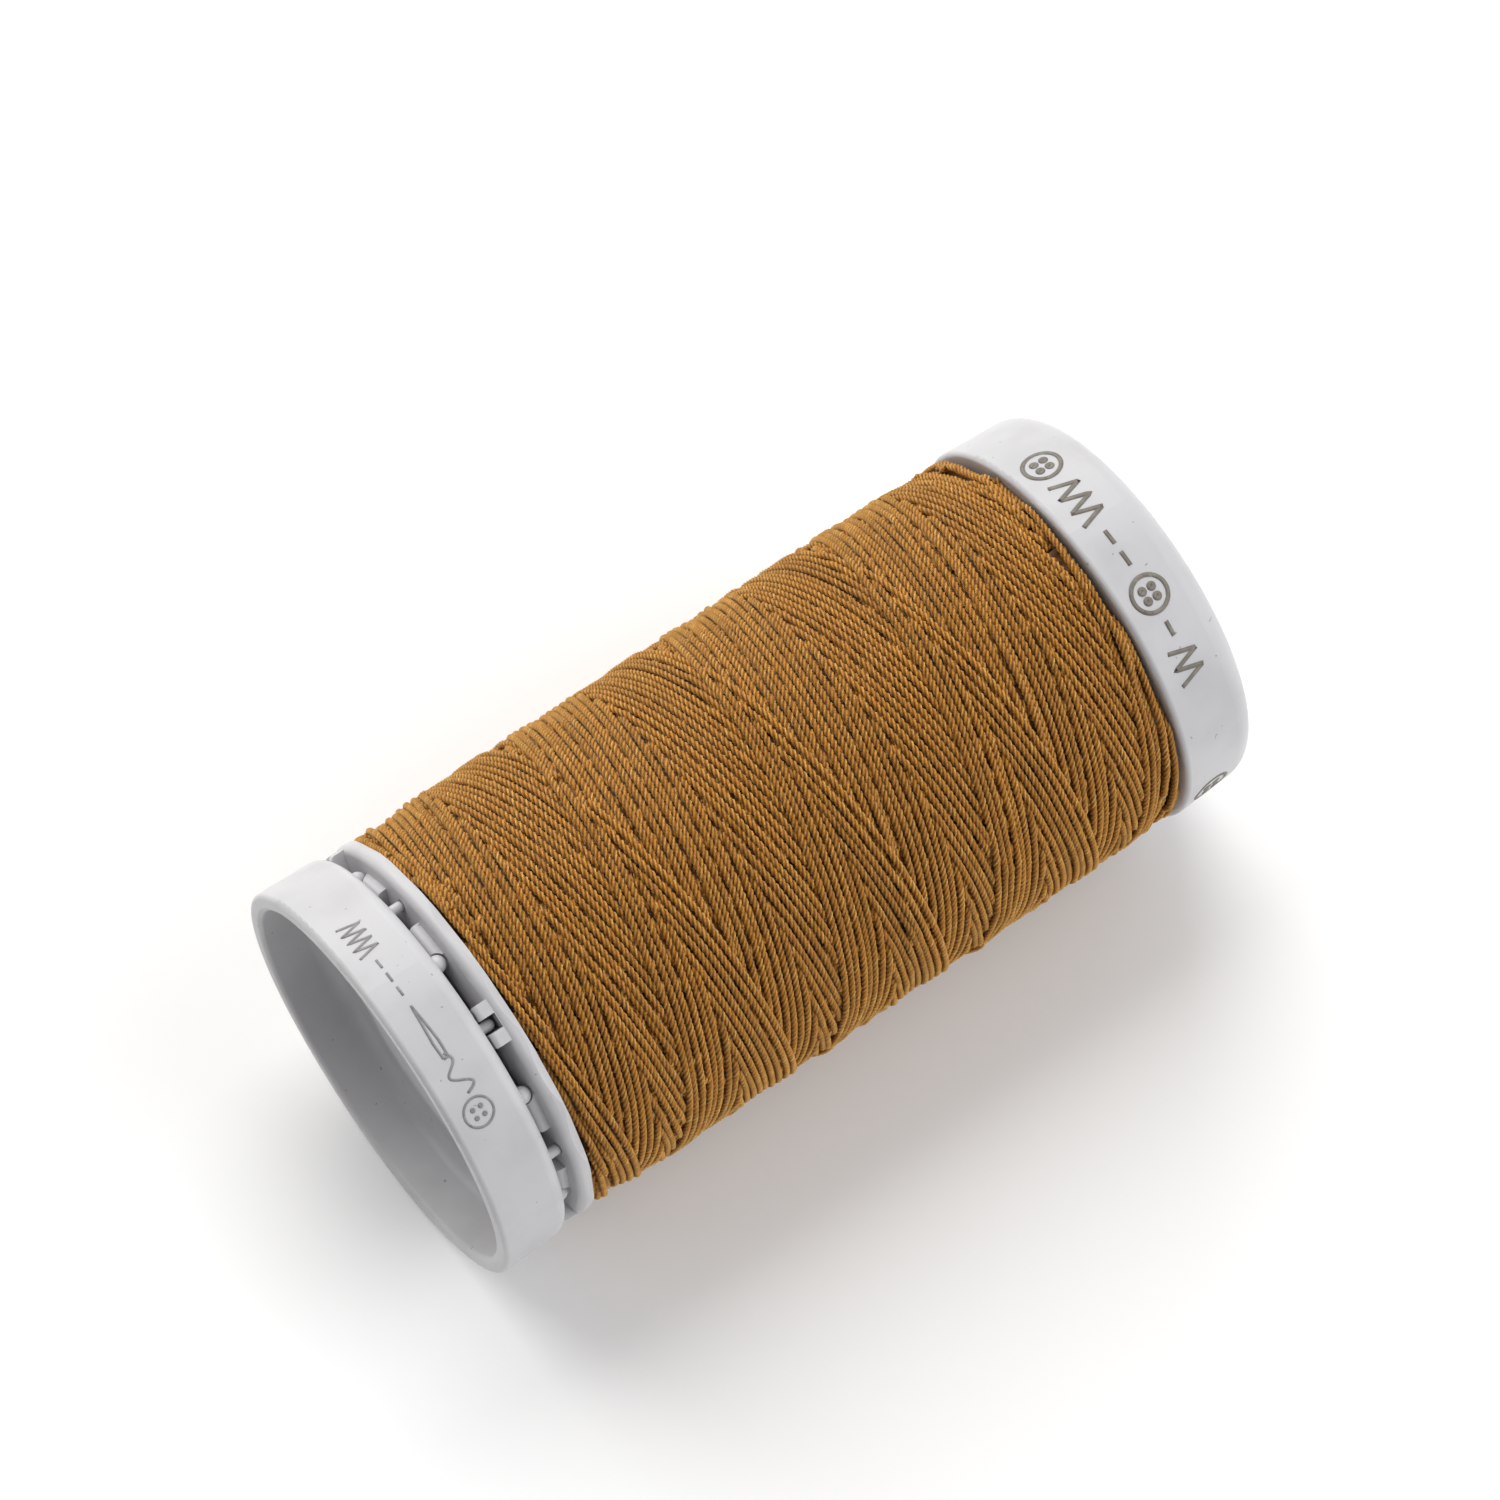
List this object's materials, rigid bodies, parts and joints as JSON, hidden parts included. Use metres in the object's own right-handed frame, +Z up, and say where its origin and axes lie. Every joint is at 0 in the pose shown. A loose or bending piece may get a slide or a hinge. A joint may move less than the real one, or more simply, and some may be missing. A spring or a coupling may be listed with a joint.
{
  "type": "spool of sewing thread",
  "caption": "Plastic sewing-thread spool with a snap-lock foot, rounded head and cross-wound golden-brown thread, lying on its side.",
  "frame": {"origin": "middle of the bottom of the bounding box, on the surface that the spool lies on", "axes": "+X along the spool from the foot to the head, +Z up, so the spool lies on its side"},
  "size_m": [0.0526, 0.025, 0.025],
  "materials": {
    "spool_plastic": "moulded white plastic, satin, slightly translucent",
    "foot_plastic": "moulded white plastic, satin, slightly translucent",
    "head_plastic": "moulded white plastic, satin, slightly translucent",
    "label_paper": "uncoated printed paper",
    "thread": "three-ply polyester thread, soft sheen"
  },
  "bodies": {
    "spool": {"spool_barrel": "spool_plastic", "head_cap": "head_plastic", "head_label": "label_paper", "thread_winding": "thread", "thread_tail": "thread"},
    "foot": {"snap_foot": "foot_plastic"}
  },
  "joints": [
    {"name": "foot_slide", "type": "slide", "parent": "spool", "child": "foot", "axis": [-1, 0, 0], "range_m": [0, 0.0018]}
  ]
}
